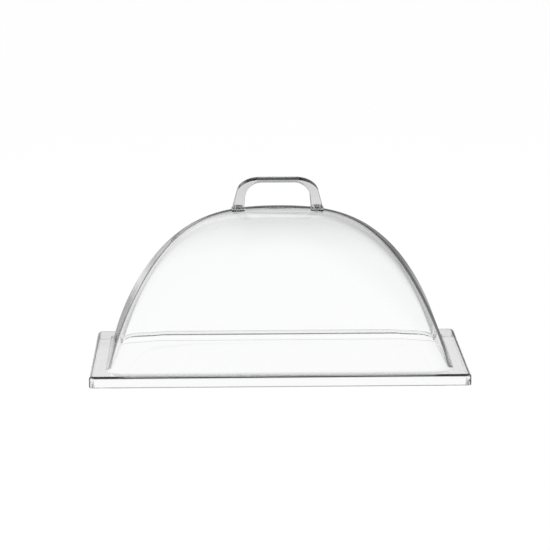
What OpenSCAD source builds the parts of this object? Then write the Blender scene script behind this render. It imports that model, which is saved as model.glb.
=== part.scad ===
// Clear buffet food cover: a moulded dome on a flanged rim, with a bridge handle screwed to its top.
// X runs along the long side, Y along the short side, and Z = 0 is the surface that the rim stands on.

/* [Rim] */
// Length of the rim over its long sides
rim_w = 530; // [420:1:650]
// Depth of the rim over its short sides
rim_d = 325; // [260:1:420]
// Height of the flange's top above the surface that the rim stands on
rim_h = 15.5; // [11:0.5:30]
// Plan radius of the rim's outer corners
rim_corner_r = 9; // [6:0.5:20]
// Rounding of the rim's outer top edge
rim_edge_r = 4.5; // [1:0.5:6]
// Width of the flat flange, from the rim's edge to the foot of the dome
flange_w = 21.5; // [15:0.5:30]

/* [Dome] */
// Height of the dome's top above the surface that the rim stands on
dome_top = 226; // [160:1:300]
// Thickness of the moulded sheet, in the dome, the flange and the skirt
wall = 3.4; // [2.4:0.1:5]
// Radius of the bend from the flange into the dome
foot_fillet = 4; // [3:0.5:12]
// Fullness of the arch's shoulders, seen from the long side
arch_shoulder = 3; // [2:0.05:4]
// How upright the arch's ends rise, seen from the long side
arch_rise = 1.17; // [1.05:0.01:2.5]
// Fullness of the dome's shoulders, seen from the short side
end_shoulder = 2.6; // [2:0.05:6]
// How upright the front and back walls rise, seen from the short side
end_rise = 2; // [1.1:0.05:3]
// Plan radius of the dome's corners at the flange
foot_corner_r = 28; // [12:0.5:45]
// How late the corners widen into the round crown as the dome rises
corner_delay = 1.25; // [0.6:0.05:3]

/* [Handle] */
// Width of the handle over its feet
handle_span = 129; // [100:1:160]
// Height of the handle above its feet
handle_rise = 42.5; // [36:0.5:60]
// Depth of the handle from front to back
handle_depth = 29; // [20:0.5:40]
// Thickness of the bar that the hand lifts
bar_t = 5; // [4:0.1:8]
// Thickness of a leg at its foot
leg_foot_t = 17.1; // [16:0.1:22]
// Lean of a leg's outer face from upright, in degrees
leg_lean = 15; // [0:0.5:18]
// Lean of a leg's inner face from upright, in degrees
inner_lean = 5; // [0:0.5:10]
// Reach of the rounded shoulder along the bar's top
shoulder_w = 30; // [20:0.5:42]
// Reach of the rounded shoulder down a leg
shoulder_h = 18.5; // [10:0.5:22]
// Reach of the finger gap's rounded corners along the bar and down a leg
gap_corner = 21; // [12:0.5:26]
// Margin of the moulded seat around a foot
seat_margin = 1; // [0.4:0.1:3]
// Plan radius of the corners of a foot's seat
seat_corner_r = 3; // [1:0.5:6]

/* [Fixings] */
// Diameter of a screw's shank
screw_d = 5; // [4:0.1:6]
// Diameter of a screw's countersunk head
head_d = 9.4; // [8.4:0.1:10.6]
// Height of the upright edge of a screw's head
head_edge = 0.5; // [0.3:0.1:0.8]
// Width of the blades of the screw's cross recess
recess_w = 1.3; // [0.8:0.1:2]
// Depth of the screw's cross recess
recess_depth = 1.6; // [1:0.1:2]
// Thickness of a threaded insert around its screw
insert_wall = 3.6; // [2:0.1:4]
// Length of a threaded insert in the handle's foot
insert_h = 4.5; // [4:0.5:6]
// Thickness of the gasket under a foot
gasket_t = 0.8; // [0.5:0.1:1.5]
// Room around a screw's shank in the shell and the gasket, all across
screw_room = 0.4; // [0.2:0.1:1]
// Room between a screw and its insert, and between an insert and its hole, on each side
grip_room = 0.05; // [0.02:0.01:0.1]

/* [Hidden] */
// Finish of the curves
corner_steps = 14;
dome_steps = 26;
bend_steps = 4;
arc_steps = 16;
round_fn = 48;
// The overlap that lets a cut or a bend cross a face cleanly
skim = 0.25;
// Share of the height that the uppermost level has, and largest share of a level's half size that is corner
crown_share = 0.9997;
corner_share = 0.97;
// Half sizes of the upright wall's outside at the flange
wall_a = rim_w / 2 - flange_w - foot_fillet;
wall_b = rim_d / 2 - flange_w - foot_fillet;
// Places of the handle, its seats and its fixings
leg_x = handle_span / 2 - leg_foot_t / 2;
foot_in_x = handle_span / 2 - leg_foot_t;
seat_w = leg_foot_t + 2 * seat_margin;
seat_d = handle_depth + 2 * seat_margin;
seat_z = crown_z(foot_in_x, 0);
foot_z = seat_z + gasket_t;
head_h = head_edge + (head_d - screw_d) / 2;
boss_r = head_d / 2 + wall;
boss_z = min(crown_z(leg_x + boss_r, wall), seat_z - head_h - wall / 2);
boss_core_z = crown_z(leg_x + seat_w / 2, wall / 2);
insert_d = screw_d + 2 * insert_wall;
tip_d = screw_d / 2;
tip_h = screw_d / 4;
clear_plastic = [0.86, 0.90, 0.92, 0.35];

// Height of the dome over the long centre line at x, for the surface that lies inset inside the outer one
function crown_z(x, inset) =
    rim_h + (dome_top - inset - rim_h)
    * pow(1 - pow(x / (wall_a - inset), arch_shoulder), 1 / arch_rise);

// Share of the dome's height at z, for the surface that lies inset inside the outer one
function height_share(z, inset) = max(0, (z - rim_h) / (dome_top - inset - rim_h));

// What is left of a half size at a share of the dome's height
function narrowed(half, share, rise, shoulder) = half * pow(1 - pow(share, rise), 1 / shoulder);

// Corner radius of a level with half size now, which was full at the flange, once the corners have widened by grown
function corner_at(now, full, r, grown) = now * min(corner_share, grown + (1 - grown) * r / full);

// A level outline: a rectangle of half sizes a and b with oval corners of radii rx and ry
function outline(a, b, rx, ry) =
    let (
        low = [
            for (i = [0:corner_steps])
                let (turn = 90 * i / corner_steps)
                [a - rx + rx * sin(turn), ry - b - ry * cos(turn)]
        ],
        right = concat(low, [for (i = [corner_steps:-1:0]) [low[i].x, -low[i].y]])
    )
    concat(right, [for (i = [len(right) - 1:-1:0]) [-right[i].x, right[i].y]]);

function at_height(points, z) = [for (p = points) [p.x, p.y, z]];

// The rim's outline, drawn in by inset
function rim_outline(inset) =
    let (r = rim_corner_r - inset)
    outline(rim_w / 2 - inset, rim_d / 2 - inset, r, r);

// The dome's outline at z, for the surface that lies inset inside the outer one, moved out by outset
function dome_ring(z, inset, outset) =
    let (
        share = height_share(z, inset),
        grown = pow(share, corner_delay),
        r = foot_corner_r - inset,
        a = narrowed(wall_a - inset, share, arch_rise, arch_shoulder),
        b = narrowed(wall_b - inset, share, end_rise, end_shoulder),
        rx = corner_at(a, wall_a - inset, r, grown),
        ry = corner_at(b, wall_b - inset, r, grown)
    )
    at_height(outline(a + outset, b + outset, rx + outset, ry + outset), z);

// The bend at the dome's foot, as levels from the flange's surface at floor_z up to the wall
function bend_rings(floor_z, r, inset) = [
    for (i = [0:bend_steps])
        let (turn = 90 * i / bend_steps)
        dome_ring(floor_z + r * (1 - cos(turn)), inset, r * (1 - sin(turn)))
];

// Levels of the dome above z, drawn together towards the top
function crown_rings(z, inset) =
    let (start = asin(height_share(z, inset) / crown_share))
    [
        for (i = [1:dome_steps])
            let (share = crown_share * sin(start + (90 - start) * i / dome_steps))
            dome_ring(rim_h + share * (dome_top - inset - rim_h), inset, 0)
    ];

// The rim's outside, from the surface it stands on to the flat of its flange
function rim_rings() = concat(
    [at_height(rim_outline(0), 0)],
    [
        for (i = [0:bend_steps])
            let (turn = 90 * i / bend_steps)
            at_height(
                rim_outline(rim_edge_r * (1 - cos(turn))),
                rim_h - rim_edge_r * (1 - sin(turn))
            )
    ]
);

// A closed solid through rings of equal count, with strips from right to left across the uppermost one
module ring_solid(rings) {
    count = len(rings[0]);
    last = (len(rings) - 1) * count;
    points = [for (ring = rings, p = ring) p];
    sides = [
        for (low = [0:count:last - count], j = [0:count - 1])
            let (
                high = low + count,
                next = (j + 1) % count
            )
            each [
                [low + j, high + j, high + next],
                [low + j, high + next, low + next]
            ]
    ];
    crown = [
        for (j = [0:count / 2 - 2])
            let (left = last + count - 1 - j)
            [last + j, left, left - 1, last + j + 1]
    ];
    bottom = [[for (j = [0:count - 1]) j]];
    polyhedron(points, concat(bottom, sides, crown), convexity = 6);
}

// The rim, the flange and the dome as one solid block
module outer_block() {
    ring_solid(concat(
        rim_rings(),
        bend_rings(rim_h, foot_fillet, 0),
        crown_rings(rim_h + foot_fillet, 0)
    ));
}

// The space inside the dome, which opens downwards past the flange's underside
module dome_space() {
    bend_r = foot_fillet + wall;
    floor_z = rim_h - wall - skim;
    ring_solid(concat(
        [at_height(dome_ring(floor_z, wall, bend_r), -rim_h)],
        bend_rings(floor_z, bend_r, wall),
        crown_rings(floor_z + bend_r, wall)
    ));
}

// The space under the flange, inside the skirt
module rim_space() {
    translate([0, 0, -rim_h])
        linear_extrude(2 * rim_h - wall)
            polygon(rim_outline(wall));
}

// A flat seat for a foot on the dome's top, with a round boss for the screw's head below it
module handle_seat() {
    translate([0, 0, boss_core_z])
        linear_extrude(seat_z - boss_core_z)
            polygon(outline(seat_w / 2, seat_d / 2, seat_corner_r, seat_corner_r));
    translate([0, 0, boss_z])
        cylinder(r = boss_r, h = boss_core_z - boss_z + skim, $fn = round_fn);
}

// Places a child at the left foot, side -1, or at the right foot, side 1
module at_foot(side) {
    translate([side * leg_x, 0, 0])
        children();
}

// The countersunk hole that a screw's head and shank sit in
module screw_hole() {
    hole_r = (screw_d + screw_room) / 2;
    sink_r = (head_d + screw_room) / 2;
    rotate_extrude($fn = round_fn)
        polygon([
            [0, boss_z - head_h],
            [sink_r, boss_z - head_h],
            [sink_r, boss_z + head_edge],
            [hole_r, boss_z + head_h],
            [hole_r, seat_z + head_h],
            [0, seat_z + head_h]
        ]);
}

module dome_shell() {
    color(clear_plastic)
        difference() {
            union() {
                difference() {
                    outer_block();
                    rim_space();
                    dome_space();
                }
                for (side = [-1, 1])
                    at_foot(side)
                        handle_seat();
            }
            for (side = [-1, 1])
                at_foot(side)
                    screw_hole();
        }
}

// A rounded corner at p, part of an oval, from reach_u along unit direction u to reach_v along v
function corner_curve(p, u, v, reach_u, reach_v) =
    let (weight = sin(acos(u * v) / 2))
    [
        for (i = [0:arc_steps])
            let (
                t = i / arc_steps,
                s = 1 - t,
                pull = 2 * weight * s * t
            )
            (s * s * (p + reach_u * u) + pull * p + t * t * (p + reach_v * v)) / (s * s + pull + t * t)
    ];

// A bridge outline over half width half at its foot, which leans in by lean and has rounded shoulders
function bridge(half, rise, lean, reach_down, reach_in) =
    let (
        top = half - rise * tan(lean),
        down = [sin(lean), -cos(lean)],
        right = corner_curve([top, rise], down, [-1, 0], reach_down, min(reach_in, corner_share * top)),
        points = concat([[half, 0]], right)
    )
    concat(points, [for (i = [len(points) - 1:-1:0]) [-points[i].x, points[i].y]]);

// Seen from the long side, with its feet at height 0
module handle_outline() {
    difference() {
        polygon(bridge(handle_span / 2, handle_rise, leg_lean, shoulder_h, shoulder_w));
        translate([0, -skim])
            polygon(bridge(foot_in_x, handle_rise - bar_t + skim, inner_lean, gap_corner, gap_corner));
    }
}

module handle() {
    color(clear_plastic)
        difference() {
            translate([0, handle_depth / 2, foot_z])
                rotate([90, 0, 0])
                    linear_extrude(handle_depth)
                        handle_outline();
            for (side = [-1, 1])
                at_foot(side)
                    translate([0, 0, foot_z - insert_h])
                        cylinder(d = insert_d + 2 * grip_room, h = 2 * insert_h, $fn = round_fn);
        }
}

// One turned profile: the head lies flush in the boss, and the shank runs up through the shell into the insert
module handle_screw(side) {
    tip_z = foot_z + insert_h - tip_h;
    color([0.72, 0.73, 0.75])
        at_foot(side)
            difference() {
                rotate_extrude($fn = round_fn)
                    polygon([
                        [0, boss_z],
                        [head_d / 2, boss_z],
                        [head_d / 2, boss_z + head_edge],
                        [screw_d / 2, boss_z + head_h],
                        [screw_d / 2, tip_z - tip_h],
                        [tip_d / 2, tip_z],
                        [0, tip_z]
                    ]);
                for (turn = [0, 90])
                    translate([0, 0, boss_z])
                        rotate([0, 0, turn])
                            cube([screw_d, recess_w, 2 * recess_depth], center = true);
            }
}

module threaded_insert(side) {
    color([0.66, 0.66, 0.65])
        at_foot(side)
            translate([0, 0, foot_z])
                difference() {
                    cylinder(d = insert_d, h = insert_h, $fn = round_fn);
                    translate([0, 0, -insert_h])
                        cylinder(d = screw_d + 2 * grip_room, h = 3 * insert_h, $fn = round_fn);
                }
}

module foot_gasket(side) {
    color([0.88, 0.90, 0.90, 0.6])
        at_foot(side)
            translate([0, 0, seat_z])
                difference() {
                    translate([-leg_foot_t / 2, -handle_depth / 2, 0])
                        cube([leg_foot_t, handle_depth, gasket_t]);
                    translate([0, 0, -gasket_t])
                        cylinder(d = screw_d + screw_room, h = 3 * gasket_t, $fn = round_fn);
                }
}

dome_shell();
handle();
handle_screw(-1);  // handle_screw_left
handle_screw(1);  // handle_screw_right
threaded_insert(-1);  // threaded_insert_left
threaded_insert(1);  // threaded_insert_right
foot_gasket(-1);  // foot_gasket_left
foot_gasket(1);  // foot_gasket_right
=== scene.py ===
import math

import bmesh
import bpy
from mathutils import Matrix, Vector


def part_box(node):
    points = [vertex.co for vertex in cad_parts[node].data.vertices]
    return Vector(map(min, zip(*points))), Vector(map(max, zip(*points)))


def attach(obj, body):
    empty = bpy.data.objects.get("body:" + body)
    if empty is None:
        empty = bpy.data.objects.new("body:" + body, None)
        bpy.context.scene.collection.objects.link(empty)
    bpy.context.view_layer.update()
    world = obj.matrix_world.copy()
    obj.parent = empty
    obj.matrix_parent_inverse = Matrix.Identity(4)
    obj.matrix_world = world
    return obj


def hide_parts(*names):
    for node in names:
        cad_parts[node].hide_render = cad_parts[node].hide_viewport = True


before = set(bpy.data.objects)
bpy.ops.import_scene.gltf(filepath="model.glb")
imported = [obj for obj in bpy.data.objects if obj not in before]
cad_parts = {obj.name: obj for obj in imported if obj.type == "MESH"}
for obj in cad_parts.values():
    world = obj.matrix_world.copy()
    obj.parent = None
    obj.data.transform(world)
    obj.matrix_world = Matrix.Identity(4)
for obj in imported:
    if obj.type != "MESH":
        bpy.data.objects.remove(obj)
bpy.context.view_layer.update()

bl_info = {
    "name": "Buffet Food Cover",
    "version": (1, 0, 0),
    "blender": (4, 5, 0),
    "location": "View3D > Sidebar > Food Cover",
    "description": "Models a clear buffet food cover with its bridge handle, its fixings and a white studio",
    "category": "Add Mesh",
}

SIDES = ("left", "right")
# Finish of the sheet: steps along a half side, round a corner, round a bend and up the dome
SIDE_STEPS = 3
CORNER_STEPS = 24
BEND_STEPS = 6
DOME_STEPS = 48
# Share of the dome's height that its uppermost level has, and largest share of a level that is corner
CROWN_SHARE = 0.9997
CORNER_SHARE = 0.97
# Flat strip that is kept beside a bend, so that the flange shades flat
FLAT_MARGIN = 0.002
# Details in metres: rounding of the skirt's lower edges, and how far a cutting tool stands out of what it cuts
SKIRT_EDGE = 0.0005
OVERRUN = 0.002
# A seat's depth in the dome, its boss's radius and rounded edge, and how far the boss goes into the seat
SEAT_DEPTH = 0.004
BOSS_RADIUS = 0.0081
BOSS_EDGE = 0.0006
BOSS_OVERLAP = 0.0004
# Inset that keeps the handle's broad faces flat, and how many corners tell such a face from the others
FACE_MARGIN = 0.0006
BROAD_FACE = 20
# A screw's chamfers at head and tip, its plain neck, what of the shank has no thread, and the share of its width
# that the cross recess keeps at its bottom
HEAD_CHAMFER = 0.0002
TIP_CHAMFER = 0.0006
NECK = 0.0004
UNTHREADED = 0.0016
RECESS_TAPER = 0.55
# The thread's depth, and where its flat top starts and ends and its foot ends, as shares of a pitch, then how far
# its foot goes into the core, how much its top is blunted, and its steps in a turn
THREAD_DEPTH = 0.61
THREAD_SHAPE = (0.42, 0.52, 0.94)
THREAD_ROOT = 0.0002
THREAD_BLUNT = 0.00005
THREAD_STEPS = 36
# An insert's knurl, groove and bore chamfers, and the shares of its height where the knurled bands start and end
KNURL_DEPTH = 0.0004
GROOVE_DEPTH = 0.0009
BORE_CHAMFER = 0.0003
BAND_SHARES = (0.05, 0.40, 0.44, 0.56, 0.60, 0.95)
# A gasket's plan corners and rounded edges
GASKET_CORNER = 0.0012
GASKET_EDGE = 0.00025
# Sides of a small turned part, and the bend from which an edge counts as sharp
SMALL_TURNED = 48
SHARP_EDGE = math.radians(60)
HANDLE_SHARP_EDGE = math.radians(40)
WHITE = (1.0, 1.0, 1.0, 1.0)
# Soft lamps: place, width and height, and watts, all aimed at one point
LAMPS = {
    "overhead": ((0.0, -0.3, 2.4), (1.6, 1.2), 30.0),
    "left_bank": ((-2.2, -1.2, 1.3), (0.7, 1.4), 18.0),
    "right_bank": ((2.2, -1.4, 1.2), (0.5, 1.2), 12.0),
}
LAMP_TARGET = Vector((0.0, 0.0, 0.1))
# The camera that was fitted to the photograph: angles in degrees, target and distance in metres, and focal length
# in pixels of a square picture
CAMERA_AZIMUTH = -1.02
CAMERA_ELEVATION = 10.41
CAMERA_ROLL = -0.24
CAMERA_TARGET = Vector((-0.0041, 0.0, 0.1278))
CAMERA_DISTANCE = 4.13
FOCAL_PIXELS = 2889.0
PICTURE_PIXELS = 550.0
SENSOR_WIDTH = 36.0
VIEW_END = 100.0
# The floor's size, and how far it lies below the skirt
FLOOR_SIZE = 40
FLOOR_DROP = 0.0002
# The studio as the object sees it: brightness of the room at heights in degrees above the horizon
ROOM = ((-2.0, 0.2), (6.5, 0.2), (8.0, 0.04), (10.9, 0.04), (11.5, 0.62), (90.0, 0.60))
# Directions along Y over which the white front of the room gives way to the rest
WHITE_FRONT = (-0.65, -0.05)
# The white backdrop that shows through the plastic: directions along Y over which it starts at its sides,
# its share beside that, and heights in degrees above the horizon over which it ends
BACKDROP_SIDES = (0.90, 0.96)
BACKDROP_SHARE = 0.6
BACKDROP_TOP = (3.5, 6.5)
# Slant of the white floor's middle, in X along Y, and distances from it over which the white gives way to the room
WHITE_SLANT = -0.06
WHITE_WIDTH = (0.31, 0.43)
# Brightness of the floor near the object and far beside it, first straight through the plastic, then mirrored in it,
# and the distances behind the object over which the mirrored floor darkens
NEAR_FLOOR = (1.0, 0.42)
FAR_FLOOR = (0.65, 0.22)
MIRROR_START = (0.17, 0.25)
# Stretches along X and Y over which the light wall on the left brightens the mirrored floor, and what stays dark there
LEFT_FLOOR = (-0.30, -0.10)
LEFT_FLOOR_START = (0.6, 1.0)
LEFT_FLOOR_DARK = 0.25
# Distances behind the object over which the white floor ends and the backdrop's foot starts, and what lies between
WHITE_REACH = (1.0, 1.72)
BACKDROP_FOOT = (1.9, 2.6)
SHADED_FLOOR = 0.8
# Directions along X, heights in degrees and brightness of the light wall on the left
LEFT_WALL = (-0.25, -0.10)
LEFT_WALL_FOOT = (0.5, 3.0)
LEFT_WALL_LEVEL = 0.8
# Share of the floor's own glow, which leaves the rest to the object's shadow
GLOW_SHARE = 0.96


def length(name, description, default):
    return bpy.props.FloatProperty(
        name=name, description=description, default=default, min=0.0, unit="LENGTH", subtype="DISTANCE")


def angle(name, description, degrees):
    return bpy.props.FloatProperty(
        name=name, description=description, default=math.radians(degrees), unit="ROTATION", subtype="ANGLE")


def colour(name, description, default):
    return bpy.props.FloatVectorProperty(
        name=name, description=description, default=default, size=4, min=0.0, max=1.0, subtype="COLOR")


def number(name, description, default):
    return bpy.props.FloatProperty(name=name, description=description, default=default)


def node_size(node):
    low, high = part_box(node)
    return high - low


def node_middle(node):
    low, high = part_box(node)
    return (low + high) / 2


class ShellSizes(bpy.types.PropertyGroup):
    """The moulded sheet: rim, flange and dome"""

    rim_w: length("Rim width", "Length of the rim over its long sides", node_size("dome_shell").x)
    rim_d: length("Rim depth", "Depth of the rim over its short sides", node_size("dome_shell").y)
    rim_h: length("Rim height", "Height of the flange's top above the floor", 0.0155)
    rim_corner: length("Rim corner", "Plan radius of the rim's corners", 0.009)
    rim_edge: length("Rim edge", "Rounding of the rim's outer top edge", 0.0045)
    flange_w: length("Flange", "Width of the flat flange", 0.0215)
    dome_top: length("Dome top", "Height of the dome's top above the floor", 0.226)
    wall: length("Sheet", "Thickness of the moulded sheet", 0.0034)
    foot_fillet: length("Foot bend", "Radius of the bend from the flange into the dome", 0.004)
    arch_shoulder: number("Arch shoulder", "Fullness of the arch's shoulders, from the long side", 3.0)
    arch_rise: number("Arch rise", "How upright the arch's ends rise, from the long side", 1.17)
    end_shoulder: number("End shoulder", "Fullness of the dome's shoulders, from the short side", 2.6)
    end_rise: number("End rise", "How upright the front and back walls rise, from the short side", 2.0)
    foot_corner: length("Foot corner", "Plan radius of the dome's corners at the flange", 0.028)
    corner_delay: number("Corner delay", "How late the corners widen into the round crown", 1.25)
    seat_margin: length("Seat margin", "Margin of the moulded seat around a foot", 0.001)
    seat_corner: length("Seat corner", "Plan radius of the seat's corners", 0.003)


class HandleSizes(bpy.types.PropertyGroup):
    """The clear bridge handle"""

    span: length("Span", "Width of the handle over its feet", node_size("handle").x)
    rise: length("Rise", "Height of the handle above its feet", node_size("handle").z)
    depth: length("Depth", "Depth of the handle from front to back", node_size("handle").y)
    bar: length("Bar", "Thickness of the bar that the hand lifts", 0.005)
    foot: length("Foot", "Thickness of a leg at its foot", 0.0171)
    leg_lean: angle("Leg lean", "Lean of a leg's outer face", 15.0)
    inner_lean: angle("Inner lean", "Lean of a leg's inner face", 5.0)
    shoulder_w: length("Shoulder along", "Reach of the shoulder along the bar's top", 0.030)
    shoulder_h: length("Shoulder down", "Reach of the shoulder down a leg", 0.0185)
    gap_corner: length("Gap corner", "Reach of the finger gap's rounded corners", 0.021)
    draft: length("Draft", "How much the moulded outline is drawn in from the back to the front", 0.0005)
    edge: length("Edge", "Softening of the moulded edges", 0.0008)


class FixingSizes(bpy.types.PropertyGroup):
    """Screws, threaded inserts and gaskets"""

    screw_d: length("Screw", "Diameter of a screw's shank", 0.005)
    head_d: length("Head", "Diameter of a screw's countersunk head", 0.0094)
    head_edge: length("Head edge", "Height of the upright edge of the head", 0.0005)
    recess_w: length("Recess width", "Width of the cross recess's blades", 0.0013)
    recess_depth: length("Recess depth", "Depth of the cross recess", 0.0016)
    pitch: length("Pitch", "Pitch of the screw's thread", 0.0008)
    room: length("Room", "Room around a shank in the shell and the gasket", 0.0004)
    grip_room: length("Grip room", "Room between an insert and its hole", 0.00005)
    knurls: bpy.props.IntProperty(name="Knurls", description="Ridges around an insert", default=30, min=8)


class Finishes(bpy.types.PropertyGroup):
    """Colours of the materials and the studio"""

    clear: colour("Clear plastic", "Tint of the clear plastic", (0.99, 0.992, 0.992, 1.0))
    depth_tint: colour("Depth tint", "Colour that thick clear plastic takes", (0.75, 0.755, 0.755, 1.0))
    depth_density: number("Depth density", "How fast the shell's plastic darkens, per metre", 8.0)
    handle_density: number("Handle density", "How fast the handle's plastic darkens, per metre", 32.0)
    steel: colour("Stainless steel", "Colour of the screws", (0.60, 0.60, 0.61, 1.0))
    insert: colour("Insert steel", "Colour of the threaded inserts", (0.46, 0.46, 0.46, 1.0))
    silicone: colour("Silicone", "Colour of the gaskets", (0.86, 0.88, 0.88, 1.0))
    floor: colour("Floor", "Colour of the studio floor", (0.93, 0.93, 0.93, 1.0))


# Work in edit mode

def deselect_objects():
    if bpy.context.object and bpy.context.object.mode != "OBJECT":
        bpy.ops.object.mode_set(mode="OBJECT")
    bpy.ops.object.select_all(action="DESELECT")


def make_active(piece):
    deselect_objects()
    piece.select_set(True)
    bpy.context.view_layer.objects.active = piece


def name_piece(name):
    piece = bpy.context.object
    piece.name = name
    piece.data.name = name
    return piece


def edit(select):
    bpy.ops.object.mode_set(mode="EDIT")
    bpy.ops.mesh.select_mode(type=select)


def leave_edit():
    bpy.ops.object.mode_set(mode="OBJECT")


def pick(kind, wanted):
    """Selects the vertices, edges or faces that the test wants, and stops the script where there are none"""
    modes = {"verts": "VERT", "edges": "EDGE", "faces": "FACE"}
    bpy.ops.mesh.select_mode(type=modes[kind])
    bpy.ops.mesh.select_all(action="DESELECT")
    mesh = bmesh.from_edit_mesh(bpy.context.object.data)
    mesh.normal_update()
    found = [part for part in getattr(mesh, kind) if wanted(part)]
    if not found:
        raise RuntimeError(f"nothing to select on {bpy.context.object.name}")
    for part in found:
        part.select_set(True)
    mesh.select_flush_mode()
    bmesh.update_edit_mesh(bpy.context.object.data)


def close_to(value, target, room=1e-5):
    return abs(value - target) < room


def is_upright(edge):
    first, second = edge.verts
    return close_to(first.co.x, second.co.x) and close_to(first.co.y, second.co.y)


def apply_place():
    bpy.ops.object.transform_apply(location=True, rotation=True, scale=True)


def draw_chain(points):
    """Draws a line through points from a plane that is merged to its first point"""
    bpy.ops.mesh.primitive_plane_add(size=0.01, location=(0, 0, 0))
    edit("VERT")
    bpy.ops.mesh.select_all(action="SELECT")
    bpy.ops.mesh.merge(type="CENTER")
    bpy.ops.transform.translate(value=points[0])
    for start, end in zip(points, points[1:]):
        bpy.ops.mesh.extrude_vertices_move(TRANSFORM_OT_translate={"value": Vector(end) - Vector(start)})


def apply_modifier(piece, kind, **settings):
    make_active(piece)
    modifier = piece.modifiers.new(kind.title(), kind)
    for key, value in settings.items():
        setattr(modifier, key, value)
    bpy.ops.object.modifier_apply(modifier=modifier.name)


def cut_or_join(piece, tool, operation):
    apply_modifier(piece, "BOOLEAN", operation=operation, object=tool, solver="EXACT")
    bpy.data.objects.remove(tool, do_unlink=True)
    edit("VERT")
    bpy.ops.mesh.select_all(action="SELECT")
    bpy.ops.mesh.remove_doubles(threshold=2e-6)
    leave_edit()


def copy_at(piece, name, offset):
    make_active(piece)
    bpy.ops.object.duplicate()
    copy = name_piece(name)
    bpy.ops.transform.translate(value=offset)
    apply_place()
    return copy


def finish_piece(piece, material, node, smooth_angle):
    """Gives a piece its shading and material, and puts it in the place of its CAD node"""
    make_active(piece)
    apply_place()
    bpy.ops.object.shade_smooth_by_angle(angle=math.radians(smooth_angle))
    piece.data.materials.clear()
    piece.data.materials.append(material)
    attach(piece, "root")
    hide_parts(node)


# Materials

def new_material(name):
    """A material with its nodes, links and shader, and the object's coordinates"""
    material = bpy.data.materials.new(name)
    material.use_nodes = True
    nodes = material.node_tree.nodes
    links = material.node_tree.links
    shader = nodes["Principled BSDF"]
    where = nodes.new("ShaderNodeTexCoord")
    return material, nodes, links, shader, where.outputs["Object"]


def noise(nodes, links, where, scale, detail, stretch=(1.0, 1.0, 1.0)):
    mapping = nodes.new("ShaderNodeMapping")
    mapping.inputs["Scale"].default_value = stretch
    texture = nodes.new("ShaderNodeTexNoise")
    texture.inputs["Scale"].default_value = scale
    texture.inputs["Detail"].default_value = detail
    links.new(where, mapping.inputs["Vector"])
    links.new(mapping.outputs["Vector"], texture.inputs["Vector"])
    return texture.outputs["Fac"]


def spread(nodes, links, value, low, high, start=0.3, end=0.7):
    """A value that goes from low to high while the given one goes from start to end"""
    ranger = nodes.new("ShaderNodeMapRange")
    ranger.inputs["From Min"].default_value = start
    ranger.inputs["From Max"].default_value = end
    ranger.inputs["To Min"].default_value = low
    ranger.inputs["To Max"].default_value = high
    links.new(value, ranger.inputs["Value"])
    return ranger.outputs["Result"]


def relief(nodes, links, shader, height, strength, distance):
    bump = nodes.new("ShaderNodeBump")
    bump.inputs["Strength"].default_value = strength
    bump.inputs["Distance"].default_value = distance
    links.new(height, bump.inputs["Height"])
    links.new(bump.outputs["Normal"], shader.inputs["Normal"])


def mix_colours(nodes, links, factor, first, second):
    """A colour between two, of which the first may come from another node"""
    mix = nodes.new("ShaderNodeMix")
    mix.data_type = "RGBA"
    if isinstance(first, bpy.types.NodeSocket):
        links.new(first, mix.inputs["A"])
    else:
        mix.inputs["A"].default_value = first
    mix.inputs["B"].default_value = second
    links.new(factor, mix.inputs["Factor"])
    return mix.outputs["Result"]


def clear_plastic(name, finishes, density, haze):
    """Polished clear plastic: faint flow waves, fine wiping scratches and a tint that grows with depth"""
    material, nodes, links, shader, where = new_material(name)
    shader.inputs["Base Color"].default_value = finishes.clear
    shader.inputs["Transmission Weight"].default_value = 1.0
    shader.inputs["IOR"].default_value = 1.585
    wiped = noise(nodes, links, where, scale=60.0, detail=6.0, stretch=(1.0, 1.0, 6.0))
    links.new(spread(nodes, links, wiped, 0.0, haze, start=0.45, end=0.8), shader.inputs["Roughness"])
    flow = noise(nodes, links, where, scale=9.0, detail=1.0)
    relief(nodes, links, shader, flow, strength=0.25, distance=0.0004)
    depth = nodes.new("ShaderNodeVolumeAbsorption")
    depth.inputs["Color"].default_value = finishes.depth_tint
    depth.inputs["Density"].default_value = density
    links.new(depth.outputs["Volume"], nodes["Material Output"].inputs["Volume"])
    return material


def turned_steel(name, tint, centre, dulling):
    """Turned stainless steel: fine rings about the axis, cloudy roughness and duller patches"""
    material, nodes, links, shader, where = new_material(name)
    shader.inputs["Metallic"].default_value = 1.0
    shader.inputs["Anisotropic"].default_value = 0.4
    place = nodes.new("ShaderNodeMapping")
    place.inputs["Location"].default_value = (-centre.x, -centre.y, 0.0)
    links.new(where, place.inputs["Vector"])
    rings = nodes.new("ShaderNodeTexWave")
    rings.wave_type = "RINGS"
    rings.rings_direction = "Z"
    rings.inputs["Scale"].default_value = 900.0
    rings.inputs["Distortion"].default_value = 0.6
    links.new(place.outputs["Vector"], rings.inputs["Vector"])
    cloud = noise(nodes, links, where, scale=420.0, detail=4.0)
    links.new(spread(nodes, links, cloud, low=0.18, high=0.36), shader.inputs["Roughness"])
    dull = (tint[0] * 0.72, tint[1] * 0.72, tint[2] * 0.74, 1.0)
    patches = spread(nodes, links, cloud, 0.0, dulling)
    links.new(mix_colours(nodes, links, patches, tint, dull), shader.inputs["Base Color"])
    relief(nodes, links, shader, rings.outputs["Fac"], strength=0.2, distance=0.00002)
    return material


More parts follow.
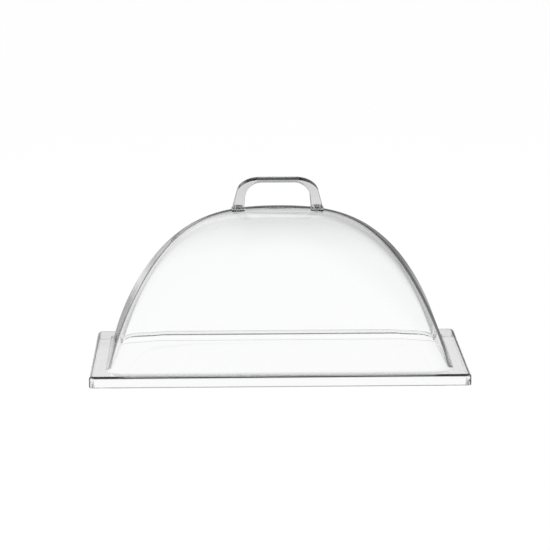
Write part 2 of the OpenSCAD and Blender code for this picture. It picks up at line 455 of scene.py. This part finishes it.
def soft_silicone(name, finishes):
    """Translucent silicone: matt, faintly cloudy, with a fine moulded grain"""
    material, nodes, links, shader, where = new_material(name)
    shader.inputs["Transmission Weight"].default_value = 0.55
    shader.inputs["IOR"].default_value = 1.41
    cloud = noise(nodes, links, where, scale=300.0, detail=4.0)
    links.new(spread(nodes, links, cloud, low=0.38, high=0.55), shader.inputs["Roughness"])
    deeper = (0.80, 0.82, 0.82, 1.0)
    links.new(mix_colours(nodes, links, cloud, finishes.silicone, deeper), shader.inputs["Base Color"])
    grain = noise(nodes, links, where, scale=2500.0, detail=2.0)
    relief(nodes, links, shader, grain, strength=0.3, distance=0.00002)
    return material


# The shell

def level_outline(half_x, half_y, corner_x, corner_y):
    """Points of a level outline with oval corners, as many for every outline and in the same order"""
    flat_x = half_x - corner_x
    flat_y = half_y - corner_y
    quarter = [Vector((flat_x * i / SIDE_STEPS, half_y)) for i in range(SIDE_STEPS)]
    for i in range(CORNER_STEPS):
        turn = math.pi / 2 * i / CORNER_STEPS
        quarter.append(Vector((flat_x + corner_x * math.sin(turn), flat_y + corner_y * math.cos(turn))))
    quarter += [Vector((half_x, flat_y * (1 - i / SIDE_STEPS))) for i in range(SIDE_STEPS + 1)]
    half = quarter + [Vector((p.x, -p.y)) for p in reversed(quarter[:-1])]
    return half + [Vector((-p.x, p.y)) for p in reversed(half[1:-1])]


def rim_level(sizes, inset):
    """The rim's outline, drawn in by inset"""
    corner = sizes.rim_corner - inset
    return level_outline(sizes.rim_w / 2 - inset, sizes.rim_d / 2 - inset, corner, corner)


def dome_level(sizes, z, outset=0.0):
    """The dome's outline at z, moved out by outset"""
    share = max(0.0, (z - sizes.rim_h) / (sizes.dome_top - sizes.rim_h))
    grown = share ** sizes.corner_delay
    edge = sizes.flange_w + sizes.foot_fillet
    full_x = sizes.rim_w / 2 - edge
    full_y = sizes.rim_d / 2 - edge
    half_x = full_x * (1 - share ** sizes.arch_rise) ** (1 / sizes.arch_shoulder)
    half_y = full_y * (1 - share ** sizes.end_rise) ** (1 / sizes.end_shoulder)
    corner_x = half_x * min(CORNER_SHARE, grown + (1 - grown) * sizes.foot_corner / full_x)
    corner_y = half_y * min(CORNER_SHARE, grown + (1 - grown) * sizes.foot_corner / full_y)
    return level_outline(half_x + outset, half_y + outset, corner_x + outset, corner_y + outset)


def shell_levels(sizes):
    """The levels of the sheet's outside with their heights, from the skirt's lower edge to the crown"""
    top = sizes.rim_h
    edge = sizes.rim_edge
    bend = sizes.foot_fillet
    levels = [(rim_level(sizes, 0), 0.0)]
    for i in range(BEND_STEPS + 1):
        turn = math.pi / 2 * i / BEND_STEPS
        levels.append((rim_level(sizes, edge * (1 - math.cos(turn))), top - edge * (1 - math.sin(turn))))
    levels.append((rim_level(sizes, edge + FLAT_MARGIN), top))
    levels.append((dome_level(sizes, top, bend + FLAT_MARGIN), top))
    for i in range(BEND_STEPS + 1):
        turn = math.pi / 2 * i / BEND_STEPS
        z = top + bend * (1 - math.cos(turn))
        levels.append((dome_level(sizes, z, bend * (1 - math.sin(turn))), z))
    climb = sizes.dome_top - top
    start = math.asin(bend / climb / CROWN_SHARE)
    for i in range(1, DOME_STEPS + 1):
        turn = start + (math.pi / 2 - start) * i / DOME_STEPS
        z = top + climb * CROWN_SHARE * math.sin(turn)
        levels.append((dome_level(sizes, z), z))
    return levels


def lay_ring(points, z):
    """Lays the selected ring on points at z, each vertex at its own station"""
    mesh = bmesh.from_edit_mesh(bpy.context.object.data)
    station = mesh.verts.layers.int["station"]
    for vertex in mesh.verts:
        if vertex.select:
            vertex.co = points[vertex[station]].to_3d()
            vertex.co.z = z
    bmesh.update_edit_mesh(bpy.context.object.data)


def raise_sheet(sizes):
    """A ring at the skirt's lower edge, drawn out level by level over the flange and the dome and closed on top"""
    levels = shell_levels(sizes)
    bpy.ops.mesh.primitive_circle_add(vertices=len(levels[0][0]), radius=sizes.rim_w / 2)
    edit("EDGE")
    bpy.ops.mesh.select_all(action="SELECT")
    mesh = bmesh.from_edit_mesh(bpy.context.object.data)
    station = mesh.verts.layers.int.new("station")
    for i, vertex in enumerate(mesh.verts):
        vertex[station] = i
    lay_ring(*levels[0])
    for points, z in levels[1:]:
        bpy.ops.mesh.extrude_edges_move(TRANSFORM_OT_translate={"value": (0, 0, 0)})
        lay_ring(points, z)
    bpy.ops.mesh.edge_face_add()
    bpy.ops.mesh.poke()
    bpy.ops.mesh.select_all(action="SELECT")
    bpy.ops.mesh.normals_make_consistent(inside=False)
    mesh = bmesh.from_edit_mesh(bpy.context.object.data)
    mesh.normal_update()
    top = max(mesh.faces, key=lambda face: face.calc_center_median().z)
    if top.normal.z < 0:
        bpy.ops.mesh.flip_normals()
    leave_edit()


def soften_skirt():
    """Rounds the two lower edges of the skirt"""
    edit("EDGE")
    pick("edges", lambda edge: all(close_to(v.co.z, 0) for v in edge.verts)
         and edge.calc_face_angle(0) > SHARP_EDGE)
    bpy.ops.mesh.bevel(offset=SKIRT_EDGE, segments=2)
    leave_edit()


def seat_block(sizes, side):
    """A flat seat for a foot, with a round boss for the screw's head below it, as one tool"""
    gasket_low, gasket_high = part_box(f"foot_gasket_{side}")
    middle = (gasket_low + gasket_high) / 2
    seat_z = gasket_low.z
    size = gasket_high - gasket_low
    screw_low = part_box(f"handle_screw_{side}")[0].z
    core_z = seat_z - SEAT_DEPTH
    deselect_objects()
    bpy.ops.mesh.primitive_cube_add(size=1, location=(middle.x, middle.y, (seat_z + core_z) / 2))
    block = name_piece(f"seat_{side}")
    bpy.ops.transform.resize(
        value=(size.x + 2 * sizes.seat_margin, size.y + 2 * sizes.seat_margin, seat_z - core_z))
    apply_place()
    edit("EDGE")
    pick("edges", is_upright)
    bpy.ops.mesh.bevel(offset=sizes.seat_corner, segments=5)
    leave_edit()
    deselect_objects()
    boss_top = core_z + BOSS_OVERLAP
    bpy.ops.mesh.primitive_cylinder_add(
        vertices=64, radius=BOSS_RADIUS, depth=boss_top - screw_low,
        location=(middle.x, middle.y, (boss_top + screw_low) / 2))
    boss = name_piece(f"boss_{side}")
    edit("EDGE")
    pick("edges", lambda edge: all(v.co.z < 0 for v in edge.verts))
    bpy.ops.mesh.bevel(offset=BOSS_EDGE, segments=3)
    leave_edit()
    apply_place()
    cut_or_join(block, boss, "UNION")
    return block


def turned_tool(name, profile, centre, steps=64):
    """Turns a profile of radius and height once round a vertical axis into a closed solid"""
    deselect_objects()
    draw_chain([Vector((centre.x + r, centre.y, z)) for r, z in profile])
    bpy.ops.mesh.select_all(action="SELECT")
    bpy.ops.mesh.spin(
        steps=steps, angle=2 * math.pi, center=(centre.x, centre.y, 0), axis=(0, 0, 1), use_auto_merge=True)
    bpy.ops.mesh.select_all(action="SELECT")
    bpy.ops.mesh.remove_doubles(threshold=1e-6)
    bpy.ops.mesh.normals_make_consistent(inside=False)
    leave_edit()
    return name_piece(name)


class COVER_OT_shell(bpy.types.Operator):
    """Model the clear shell with its rim, flange, dome and handle seats"""

    bl_idname = "food_cover.shell"
    bl_label = "Clear Shell"
    bl_options = {"REGISTER", "UNDO"}

    def execute(self, context):
        sizes = context.scene.cover_shell
        fixings = context.scene.cover_fixings
        finishes = context.scene.cover_finishes
        deselect_objects()
        raise_sheet(sizes)
        shell = name_piece("clear_shell")
        apply_modifier(
            shell, "SOLIDIFY", thickness=sizes.wall, offset=-1.0,
            use_even_offset=True, use_quality_normals=True, use_rim=True)
        soften_skirt()
        for side in SIDES:
            cut_or_join(shell, seat_block(sizes, side), "UNION")
        for side in SIDES:
            low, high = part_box(f"handle_screw_{side}")
            centre = (low + high) / 2
            sink = (fixings.head_d + fixings.room) / 2
            hole = (fixings.screw_d + fixings.room) / 2
            cone_z = low.z + fixings.head_edge
            profile = [
                (0, low.z - OVERRUN), (sink, low.z - OVERRUN), (sink, cone_z),
                (hole, cone_z + sink - hole), (hole, high.z), (0, high.z),
            ]
            cut_or_join(shell, turned_tool(f"hole_{side}", profile, centre), "DIFFERENCE")
        plastic = clear_plastic("clear_moulded_shell", finishes, finishes.depth_density, haze=0.025)
        finish_piece(shell, plastic, "dome_shell", smooth_angle=38)
        return {"FINISHED"}


# The handle

def corner_curve(corner, first, second, first_reach, second_reach, steps=20):
    """A rounded corner, part of an oval, from first_reach along one direction to second_reach along the other"""
    weight = math.sin(math.acos(first.dot(second)) / 2)
    points = []
    for i in range(steps + 1):
        t = i / steps
        s = 1 - t
        pull = 2 * weight * s * t
        total = s * s + pull + t * t
        points.append(
            (s * s * (corner + first * first_reach) + pull * corner + t * t * (corner + second * second_reach))
            / total)
    return points


def bridge_side(half, rise, lean, reach_down, reach_in):
    """The right half of a bridge's outline, from its foot to its top"""
    down = Vector((math.sin(lean), -math.cos(lean)))
    corner = Vector((half - rise * math.tan(lean), rise))
    return [Vector((half, 0))] + corner_curve(corner, down, Vector((-1, 0)), reach_down, reach_in)


class COVER_OT_handle(bpy.types.Operator):
    """Model the clear bridge handle with the holes for its inserts"""

    bl_idname = "food_cover.handle"
    bl_label = "Bridge Handle"
    bl_options = {"REGISTER", "UNDO"}

    def execute(self, context):
        sizes = context.scene.cover_handle
        fixings = context.scene.cover_fixings
        low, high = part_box("handle")
        outer = bridge_side(sizes.span / 2, sizes.rise, sizes.leg_lean, sizes.shoulder_h, sizes.shoulder_w)
        inner = bridge_side(
            sizes.span / 2 - sizes.foot, sizes.rise - sizes.bar, sizes.inner_lean,
            sizes.gap_corner, sizes.gap_corner)
        arch = outer + [Vector((-p.x, p.y)) for p in reversed(outer)]
        gap = [Vector((-p.x, p.y)) for p in inner] + list(reversed(inner))
        outline = [Vector((p.x, high.y, low.z + p.y)) for p in arch + gap]
        deselect_objects()
        draw_chain(outline)
        bpy.ops.mesh.select_all(action="SELECT")
        bpy.ops.mesh.edge_face_add()
        mesh = bmesh.from_edit_mesh(bpy.context.object.data)
        mesh.faces.ensure_lookup_table()
        if mesh.faces[0].normal.y > 0:
            bpy.ops.mesh.flip_normals()
        bpy.ops.mesh.select_mode(type="FACE")
        bpy.ops.mesh.select_all(action="SELECT")
        bpy.ops.mesh.inset(thickness=sizes.draft, depth=high.y - low.y)
        # The draft leaves the soles flat
        pick("verts", lambda vertex: vertex.co.z < low.z + 2 * sizes.draft)
        bpy.ops.transform.resize(value=(1, 1, 0), center_override=(0, 0, low.z))
        pick("edges", lambda edge: edge.is_boundary)
        bpy.ops.mesh.edge_face_add()
        bpy.ops.mesh.select_all(action="SELECT")
        bpy.ops.mesh.normals_make_consistent(inside=False)
        bpy.ops.mesh.select_mode(type="EDGE")
        bpy.ops.mesh.select_all(action="DESELECT")
        bpy.ops.mesh.edges_select_sharp(sharpness=HANDLE_SHARP_EDGE)
        bpy.ops.mesh.bevel(offset=sizes.edge, segments=3, profile=0.5)
        pick("faces", lambda face: len(face.verts) > BROAD_FACE)
        bpy.ops.mesh.inset(thickness=FACE_MARGIN)
        leave_edit()
        handle = name_piece("bridge_handle")
        for side in SIDES:
            bottom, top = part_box(f"threaded_insert_{side}")
            reach = (top.x - bottom.x) / 2 + fixings.grip_room
            start_z = bottom.z - OVERRUN
            profile = [(0, start_z), (reach, start_z), (reach, top.z), (0, top.z)]
            tool = turned_tool(f"insert_hole_{side}", profile, (bottom + top) / 2)
            cut_or_join(handle, tool, "DIFFERENCE")
        finishes = context.scene.cover_finishes
        plastic = clear_plastic("clear_moulded_handle", finishes, finishes.handle_density, haze=0.02)
        finish_piece(handle, plastic, "handle", smooth_angle=38)
        # The broad faces shade flat up to their softened edges
        apply_modifier(handle, "WEIGHTED_NORMAL", keep_sharp=True, weight=100)
        return {"FINISHED"}


# The fixings

class COVER_OT_screws(bpy.types.Operator):
    """Model the countersunk screws with a cut thread and a cross recess"""

    bl_idname = "food_cover.screws"
    bl_label = "Handle Screws"
    bl_options = {"REGISTER", "UNDO"}

    def execute(self, context):
        sizes = context.scene.cover_fixings
        low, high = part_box("handle_screw_left")
        centre = (low + high) / 2
        head = sizes.head_d / 2
        shank = sizes.screw_d / 2
        root = shank - THREAD_DEPTH * sizes.pitch
        neck_z = low.z + sizes.head_edge + head - shank
        turns = int((high.z - neck_z - UNTHREADED) / sizes.pitch)
        profile = [
            (0, low.z), (head - HEAD_CHAMFER, low.z),
            (head, low.z + HEAD_CHAMFER), (head, low.z + sizes.head_edge),
            (shank, neck_z), (shank, neck_z + NECK), (root, neck_z + 2 * NECK),
            (root, high.z - TIP_CHAMFER), (root - TIP_CHAMFER, high.z), (0, high.z),
        ]
        screw = turned_tool("screw_left", profile, centre, SMALL_TURNED)
        for turn in (0.0, math.pi / 2):
            deselect_objects()
            bpy.ops.mesh.primitive_cube_add(size=1, location=(centre.x, centre.y, low.z), rotation=(0, 0, turn))
            bpy.ops.transform.resize(
                value=(sizes.screw_d, sizes.recess_w, 2 * sizes.recess_depth), orient_type="LOCAL")
            blade = name_piece("recess_blade")
            apply_place()
            edit("FACE")
            pick("faces", lambda face: face.normal.z > 0.9)
            bpy.ops.transform.resize(value=(RECESS_TAPER, RECESS_TAPER, 1))
            leave_edit()
            cut_or_join(screw, blade, "DIFFERENCE")
        # The thread's profile starts inside the core, so that no gap shows at its foot
        start_z = neck_z + 1.5 * NECK
        foot_x = centre.x + root - THREAD_ROOT
        top_x = centre.x + shank - THREAD_BLUNT
        ridge = [
            Vector((x, centre.y, start_z + share * sizes.pitch))
            for x, share in zip((foot_x, top_x, top_x, foot_x), (0.0, *THREAD_SHAPE))
        ]
        deselect_objects()
        draw_chain(ridge)
        bpy.ops.mesh.select_all(action="SELECT")
        bpy.ops.mesh.edge_face_add()
        steps = THREAD_STEPS * turns
        bpy.ops.mesh.spin(
            steps=steps, angle=2 * math.pi * turns, center=(centre.x, centre.y, 0), axis=(0, 0, 1))
        leave_edit()
        thread = name_piece("thread")
        # The spin is drawn out along the axis afterwards: each copy of the profile rises by its share of a pitch
        for i, vertex in enumerate(thread.data.vertices):
            vertex.co.z += sizes.pitch * turns * (i // len(ridge)) / steps
        edit("FACE")
        bpy.ops.mesh.select_all(action="SELECT")
        bpy.ops.mesh.normals_make_consistent(inside=False)
        leave_edit()
        make_active(screw)
        thread.select_set(True)
        bpy.ops.object.join()
        right = copy_at(screw, "screw_right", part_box("handle_screw_right")[0] - low)
        for side, piece in zip(SIDES, (screw, right)):
            steel = turned_steel(
                f"turned_stainless_screw_{side}", context.scene.cover_finishes.steel,
                node_middle(f"handle_screw_{side}"), dulling=0.7)
            finish_piece(piece, steel, f"handle_screw_{side}", smooth_angle=32)
        return {"FINISHED"}


class COVER_OT_inserts(bpy.types.Operator):
    """Model the threaded inserts with two knurled bands"""

    bl_idname = "food_cover.inserts"
    bl_label = "Threaded Inserts"
    bl_options = {"REGISTER", "UNDO"}

    def execute(self, context):
        sizes = context.scene.cover_fixings
        low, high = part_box("threaded_insert_left")
        centre = (low + high) / 2
        outer = (high.x - low.x) / 2
        valley = outer - KNURL_DEPTH
        groove = outer - GROOVE_DEPTH
        bore = sizes.screw_d / 2 + sizes.grip_room
        mouth = bore + BORE_CHAMFER
        height = high.z - low.z
        # Radii and heights from the lower edge over both bands, then down the bore to its lower mouth
        radii = (valley, outer, outer, groove, groove, outer, outer, valley, mouth, bore, bore, mouth)
        heights = [share * height for share in (0.0, *BAND_SHARES, 1.0, 1.0)]
        heights += [height - BORE_CHAMFER, BORE_CHAMFER, 0.0]
        levels = list(zip(radii, heights))
        count = 2 * sizes.knurls
        deselect_objects()
        bpy.ops.mesh.primitive_circle_add(
            vertices=count, radius=valley, fill_type="NOTHING", location=(centre.x, centre.y, low.z))
        insert = name_piece("insert_left")
        apply_place()
        edit("EDGE")
        bpy.ops.mesh.select_all(action="SELECT")
        for (last_r, last_z), (r, z) in zip(levels, levels[1:]):
            bpy.ops.mesh.extrude_edges_move(TRANSFORM_OT_translate={"value": (0, 0, z - last_z)})
            bpy.ops.transform.resize(value=(r / last_r, r / last_r, 1), center_override=centre)
        pick("edges", lambda edge: edge.is_boundary)
        bpy.ops.mesh.bridge_edge_loops()

        # Every second line of the bands is drawn in
        def on_valley(vertex):
            flat = Vector((vertex.co.x - centre.x, vertex.co.y - centre.y))
            if not close_to(flat.length, outer, 2e-5):
                return False
            place = math.atan2(flat.y, flat.x) / (2 * math.pi) * count
            return round(place) % 2 == 1

        pick("verts", on_valley)
        bpy.ops.transform.resize(value=(valley / outer, valley / outer, 1), center_override=centre)
        bpy.ops.mesh.select_all(action="SELECT")
        bpy.ops.mesh.normals_make_consistent(inside=False)
        leave_edit()
        right = copy_at(insert, "insert_right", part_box("threaded_insert_right")[0] - low)
        for side, piece in zip(SIDES, (insert, right)):
            steel = turned_steel(
                f"knurled_stainless_insert_{side}", context.scene.cover_finishes.insert,
                node_middle(f"threaded_insert_{side}"), dulling=1.0)
            finish_piece(piece, steel, f"threaded_insert_{side}", smooth_angle=25)
        return {"FINISHED"}


class COVER_OT_gaskets(bpy.types.Operator):
    """Model the soft gaskets under the handle's feet"""

    bl_idname = "food_cover.gaskets"
    bl_label = "Foot Gaskets"
    bl_options = {"REGISTER", "UNDO"}

    def execute(self, context):
        sizes = context.scene.cover_fixings
        low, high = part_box("foot_gasket_left")
        centre = (low + high) / 2
        deselect_objects()
        bpy.ops.mesh.primitive_cube_add(size=1, location=centre)
        bpy.ops.transform.resize(value=high - low)
        gasket = name_piece("gasket_left")
        apply_place()
        edit("EDGE")
        pick("edges", is_upright)
        bpy.ops.mesh.bevel(offset=GASKET_CORNER, segments=4)
        bpy.ops.mesh.select_all(action="DESELECT")
        bpy.ops.mesh.edges_select_sharp(sharpness=SHARP_EDGE)
        bpy.ops.mesh.bevel(offset=GASKET_EDGE, segments=3)
        leave_edit()
        hole = (sizes.screw_d + sizes.room) / 2
        bottom_z = low.z - OVERRUN
        top_z = high.z + OVERRUN
        profile = [(0, bottom_z), (hole, bottom_z), (hole, top_z), (0, top_z)]
        cut_or_join(gasket, turned_tool("gasket_hole", profile, centre, SMALL_TURNED), "DIFFERENCE")
        right = copy_at(gasket, "gasket_right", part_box("foot_gasket_right")[0] - low)
        silicone = soft_silicone("translucent_silicone", context.scene.cover_finishes)
        for side, piece in zip(SIDES, (gasket, right)):
            finish_piece(piece, silicone, f"foot_gasket_{side}", smooth_angle=35)
        return {"FINISHED"}


# The studio

def combine(nodes, links, operation, first, second):
    """The clamped result of a sum, product or maximum of two values, where the second may be a plain number"""
    node = nodes.new("ShaderNodeMath")
    node.operation = operation
    node.use_clamp = True
    links.new(first, node.inputs[0])
    if isinstance(second, float):
        node.inputs[1].default_value = second
    else:
        links.new(second, node.inputs[1])
    return node.outputs["Value"]


def white_floor(finishes):
    """White paper with the object's shadow: white to the camera, and darker where the plastic mirrors it"""
    material = bpy.data.materials.new("white_studio_floor")
    material.use_nodes = True
    nodes = material.node_tree.nodes
    links = material.node_tree.links
    nodes.clear()
    path = nodes.new("ShaderNodeLightPath").outputs
    where = nodes.new("ShaderNodeTexCoord")
    place = nodes.new("ShaderNodeSeparateXYZ")
    links.new(where.outputs["Object"], place.inputs["Vector"])
    across = nodes.new("ShaderNodeMath")
    across.operation = "MULTIPLY_ADD"
    across.inputs[1].default_value = -WHITE_SLANT
    links.new(place.outputs["Y"], across.inputs[0])
    links.new(place.outputs["X"], across.inputs[2])
    off = nodes.new("ShaderNodeMath")
    off.operation = "ABSOLUTE"
    links.new(across.outputs["Value"], off.inputs[0])
    beside = nodes.new("ShaderNodeMix")
    links.new(spread(nodes, links, off.outputs["Value"], 0.0, 1.0, *WHITE_WIDTH), beside.inputs["Factor"])
    past = spread(nodes, links, place.outputs["Y"], 0.0, 1.0, *MIRROR_START)
    mirrored = combine(nodes, links, "MULTIPLY", past, path["Glossy Depth"])
    left = spread(nodes, links, place.outputs["X"], 1.0, 0.0, *LEFT_FLOOR)
    far = spread(nodes, links, place.outputs["Y"], 0.0, 1.0, *LEFT_FLOOR_START)
    lift = combine(nodes, links, "MULTIPLY", left, far)
    dark = spread(nodes, links, lift, 1.0, LEFT_FLOOR_DARK, 0.0, 1.0)
    mirrored = combine(nodes, links, "MULTIPLY", mirrored, dark)
    links.new(spread(nodes, links, mirrored, *NEAR_FLOOR, 0.0, 1.0), beside.inputs["A"])
    links.new(spread(nodes, links, mirrored, *FAR_FLOOR, 0.0, 1.0), beside.inputs["B"])
    behind = spread(nodes, links, place.outputs["Y"], 1.0, SHADED_FLOOR, *WHITE_REACH)
    backdrop = spread(nodes, links, place.outputs["Y"], 0.0, 1.0, *BACKDROP_FOOT)
    shade = combine(nodes, links, "MAXIMUM", behind, backdrop)
    lit = combine(nodes, links, "MULTIPLY", beside.outputs["Result"], shade)
    paper = nodes.new("ShaderNodeBsdfDiffuse")
    paper.inputs["Color"].default_value = finishes.floor
    glow = nodes.new("ShaderNodeEmission")
    links.new(combine(nodes, links, "MAXIMUM", path["Is Camera Ray"], lit), glow.inputs["Strength"])
    seen = combine(nodes, links, "ADD", path["Is Camera Ray"], path["Is Glossy Ray"])
    seen = combine(nodes, links, "ADD", seen, path["Is Transmission Ray"])
    mix = nodes.new("ShaderNodeMixShader")
    links.new(combine(nodes, links, "MULTIPLY", seen, GLOW_SHARE), mix.inputs["Fac"])
    links.new(paper.outputs["BSDF"], mix.inputs[1])
    links.new(glow.outputs["Emission"], mix.inputs[2])
    out = nodes.new("ShaderNodeOutputMaterial")
    links.new(mix.outputs["Shader"], out.inputs["Surface"])
    return material


def sines(heights):
    """Heights in degrees as upward parts of a direction"""
    return [math.sin(math.radians(degrees)) for degrees in heights]


def studio_world():
    """White to the camera; to the object a white front, a light wall on the left and a dark band low in a grey room"""
    world = bpy.data.worlds.new("studio")
    bpy.context.scene.world = world
    world.use_nodes = True
    nodes = world.node_tree.nodes
    links = world.node_tree.links
    nodes.clear()
    where = nodes.new("ShaderNodeTexCoord")
    split = nodes.new("ShaderNodeSeparateXYZ")
    links.new(where.outputs["Generated"], split.inputs["Vector"])
    ramp = nodes.new("ShaderNodeValToRGB")
    stops = ramp.color_ramp.elements
    stops.remove(stops[1])
    for degrees, level in ROOM:
        stop = stops.new((math.sin(math.radians(degrees)) + 1) / 2)
        stop.color = (level, level, level, 1.0)
    stops.remove(stops[0])
    height = spread(nodes, links, split.outputs["Z"], 0.0, 1.0, -1.0, 1.0)
    links.new(height, ramp.inputs["Fac"])
    before = spread(nodes, links, split.outputs["Y"], 1.0, 0.0, *WHITE_FRONT)
    front = mix_colours(nodes, links, before, ramp.outputs["Color"], WHITE)
    beside = spread(nodes, links, split.outputs["X"], LEFT_WALL_LEVEL, 0.0, *LEFT_WALL)
    foot = spread(nodes, links, split.outputs["Z"], 0.0, 1.0, *sines(LEFT_WALL_FOOT))
    wall = mix_colours(nodes, links, combine(nodes, links, "MULTIPLY", beside, foot), front, WHITE)
    room = nodes.new("ShaderNodeBackground")
    links.new(wall, room.inputs["Color"])
    white = nodes.new("ShaderNodeBackground")
    white.inputs["Color"].default_value = WHITE
    path = nodes.new("ShaderNodeLightPath")
    behind = spread(nodes, links, split.outputs["Y"], BACKDROP_SHARE, 1.0, *BACKDROP_SIDES)
    below = spread(nodes, links, split.outputs["Z"], 1.0, 0.0, *sines(BACKDROP_TOP))
    through = combine(nodes, links, "MULTIPLY", path.outputs["Is Transmission Ray"], behind)
    through = combine(nodes, links, "MULTIPLY", through, below)
    straight = spread(nodes, links, path.outputs["Glossy Depth"], 1.0, 0.0, 0.0, 1.0)
    through = combine(nodes, links, "MULTIPLY", through, straight)
    mix = nodes.new("ShaderNodeMixShader")
    links.new(combine(nodes, links, "MAXIMUM", path.outputs["Is Camera Ray"], through), mix.inputs["Fac"])
    links.new(room.outputs["Background"], mix.inputs[1])
    links.new(white.outputs["Background"], mix.inputs[2])
    out = nodes.new("ShaderNodeOutputWorld")
    links.new(mix.outputs["Shader"], out.inputs["Surface"])


def soft_lamp(name, place, size, watts):
    """A soft lamp that lights the object and doesn't show in it"""
    deselect_objects()
    bpy.ops.object.light_add(type="AREA", location=place)
    lamp = bpy.context.object
    lamp.name = name
    lamp.data.shape = "RECTANGLE"
    lamp.data.size, lamp.data.size_y = size
    lamp.data.energy = watts
    lamp.visible_glossy = False
    lamp.visible_transmission = False
    aim = (LAMP_TARGET - Vector(place)).to_track_quat("-Z", "Y")
    lamp.rotation_euler = aim.to_euler()


class COVER_OT_stage(bpy.types.Operator):
    """Set up the white floor, the soft lamps and the camera at the photograph's angle"""

    bl_idname = "food_cover.stage"
    bl_label = "Studio and Camera"
    bl_options = {"REGISTER", "UNDO"}

    def execute(self, context):
        scene = context.scene
        scene.view_settings.view_transform = "Standard"
        deselect_objects()
        bpy.ops.mesh.primitive_plane_add(size=FLOOR_SIZE, location=(0, 0, -FLOOR_DROP))
        floor = name_piece("studio_floor")
        apply_place()
        floor.data.materials.append(white_floor(scene.cover_finishes))
        studio_world()
        for name, lamp in LAMPS.items():
            soft_lamp(name, *lamp)
        azimuth = math.radians(CAMERA_AZIMUTH)
        elevation = math.radians(CAMERA_ELEVATION)
        back = Vector((
            math.sin(azimuth) * math.cos(elevation),
            -math.cos(azimuth) * math.cos(elevation),
            math.sin(elevation)))
        bpy.ops.object.camera_add(location=CAMERA_TARGET + back * CAMERA_DISTANCE)
        camera = context.object
        camera.name = "photo_camera"
        turn = back.to_track_quat("Z", "Y")
        camera.rotation_euler = turn.to_euler()
        camera.rotation_euler.rotate_axis("Z", math.radians(CAMERA_ROLL))
        camera.data.sensor_width = SENSOR_WIDTH
        camera.data.lens = FOCAL_PIXELS * SENSOR_WIDTH / PICTURE_PIXELS
        camera.data.clip_end = VIEW_END
        scene.camera = camera
        return {"FINISHED"}


class COVER_PT_panel(bpy.types.Panel):
    """Lists the pieces of the food cover"""

    bl_idname = "COVER_PT_panel"
    bl_label = "Food Cover"
    bl_space_type = "VIEW_3D"
    bl_region_type = "UI"
    bl_category = "Food Cover"

    def draw(self, context):
        for name in GROUPS:
            box = self.layout.box()
            group = getattr(context.scene, name)
            for key in group.__annotations__:
                box.prop(group, key)
        for operator in PIECES:
            self.layout.operator(operator.bl_idname)


GROUPS = {
    "cover_shell": ShellSizes,
    "cover_handle": HandleSizes,
    "cover_fixings": FixingSizes,
    "cover_finishes": Finishes,
}
PIECES = (
    COVER_OT_stage, COVER_OT_shell, COVER_OT_handle,
    COVER_OT_screws, COVER_OT_inserts, COVER_OT_gaskets,
)
CLASSES = (*GROUPS.values(), *PIECES, COVER_PT_panel)


def register():
    for cls in CLASSES:
        bpy.utils.register_class(cls)
    for name, group in GROUPS.items():
        setattr(bpy.types.Scene, name, bpy.props.PointerProperty(type=group))


def unregister():
    for name in GROUPS:
        delattr(bpy.types.Scene, name)
    for cls in reversed(CLASSES):
        bpy.utils.unregister_class(cls)


def main():
    register()
    bpy.ops.food_cover.stage()
    bpy.ops.food_cover.shell()
    bpy.ops.food_cover.handle()
    bpy.ops.food_cover.screws()
    bpy.ops.food_cover.inserts()
    bpy.ops.food_cover.gaskets()


if __name__ == "__main__":
    main()
